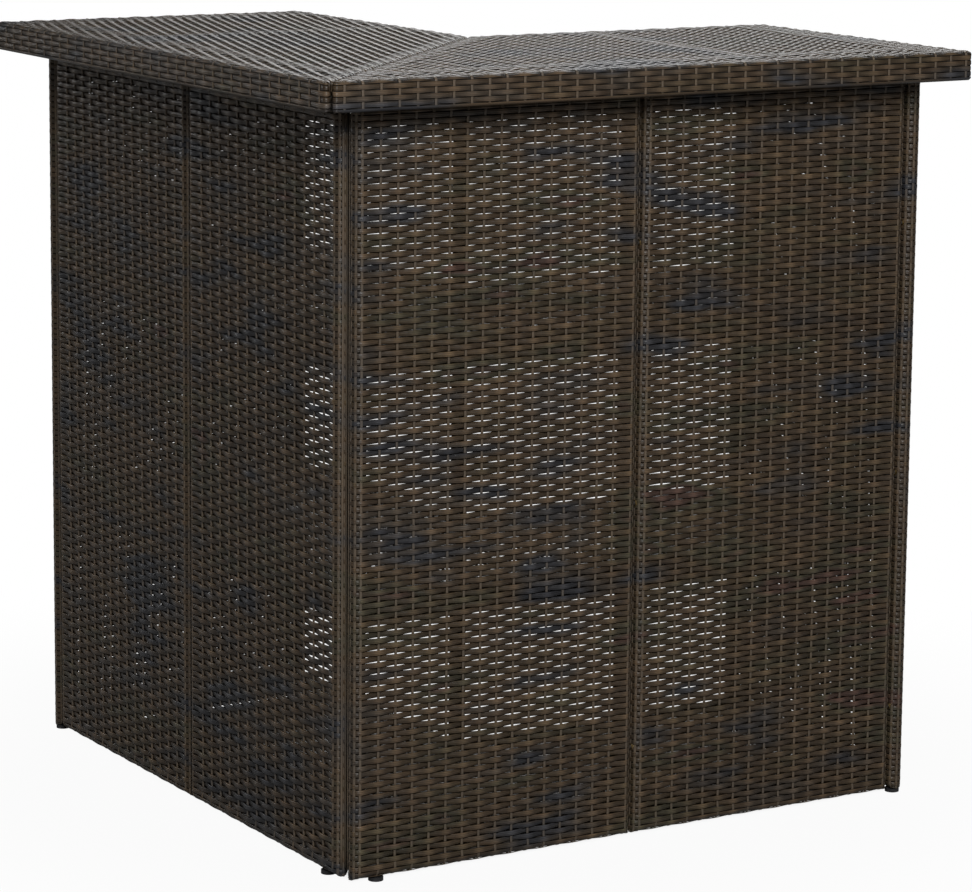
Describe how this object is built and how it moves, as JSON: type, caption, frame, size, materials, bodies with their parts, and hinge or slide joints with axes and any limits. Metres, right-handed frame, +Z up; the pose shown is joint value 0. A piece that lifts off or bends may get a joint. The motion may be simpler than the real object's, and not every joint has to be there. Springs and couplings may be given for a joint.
{
  "type": "rattan corner bar table",
  "caption": "L-shaped bar table in dark woven rattan, with a mitred top, woven panels outside and open shelves inside.",
  "frame": {"origin": "on the floor, under the middle of the square that the top's outline fits in", "axes": "+Z up. The outer corner of the L points to -X -Y. The right wing runs along +X and the left wing along +Y, and the open side with the shelves faces +X +Y"},
  "size_m": [1, 1, 1.05],
  "materials": {
    "woven_strand": "flat round strands of dark brown, grey and olive synthetic rattan, with a soft sheen",
    "painted_steel": "dark powder coat",
    "zinc": "zinc plated",
    "brass": "plain turned brass",
    "black_plastic": "moulded black plastic"
  },
  "bodies": {
    "root": {"right_top_frame": "painted_steel", "right_top_weave": "woven_strand", "left_top_frame": "painted_steel", "left_top_weave": "woven_strand", "right_inner_panel_frame": "painted_steel", "right_inner_panel_weave": "woven_strand", "right_outer_panel_frame": "painted_steel", "right_outer_panel_weave": "woven_strand", "right_end_panel_frame": "painted_steel", "right_end_panel_weave": "woven_strand", "left_inner_panel_frame": "painted_steel", "left_inner_panel_weave": "woven_strand", "left_outer_panel_frame": "painted_steel", "left_outer_panel_weave": "woven_strand", "left_end_panel_frame": "painted_steel", "left_end_panel_weave": "woven_strand", "right_bottom_shelf_frame": "painted_steel", "right_bottom_shelf_weave": "woven_strand", "right_middle_shelf_frame": "painted_steel", "right_middle_shelf_weave": "woven_strand", "right_upper_shelf_frame": "painted_steel", "right_upper_shelf_weave": "woven_strand", "left_bottom_shelf_frame": "painted_steel", "left_bottom_shelf_weave": "woven_strand", "left_middle_shelf_frame": "painted_steel", "left_middle_shelf_weave": "woven_strand", "left_upper_shelf_frame": "painted_steel", "left_upper_shelf_weave": "woven_strand", "inner_post": "painted_steel", "inner_post_wrap": "woven_strand", "mitre_plates": "zinc", "plate_screws": "zinc", "panel_bolts": "painted_steel", "panel_inserts": "brass", "shelf_bolts": "zinc", "shelf_inserts": "brass", "top_bolts": "zinc", "top_inserts": "brass", "foot_glides": "black_plastic"}
  },
  "joints": []
}
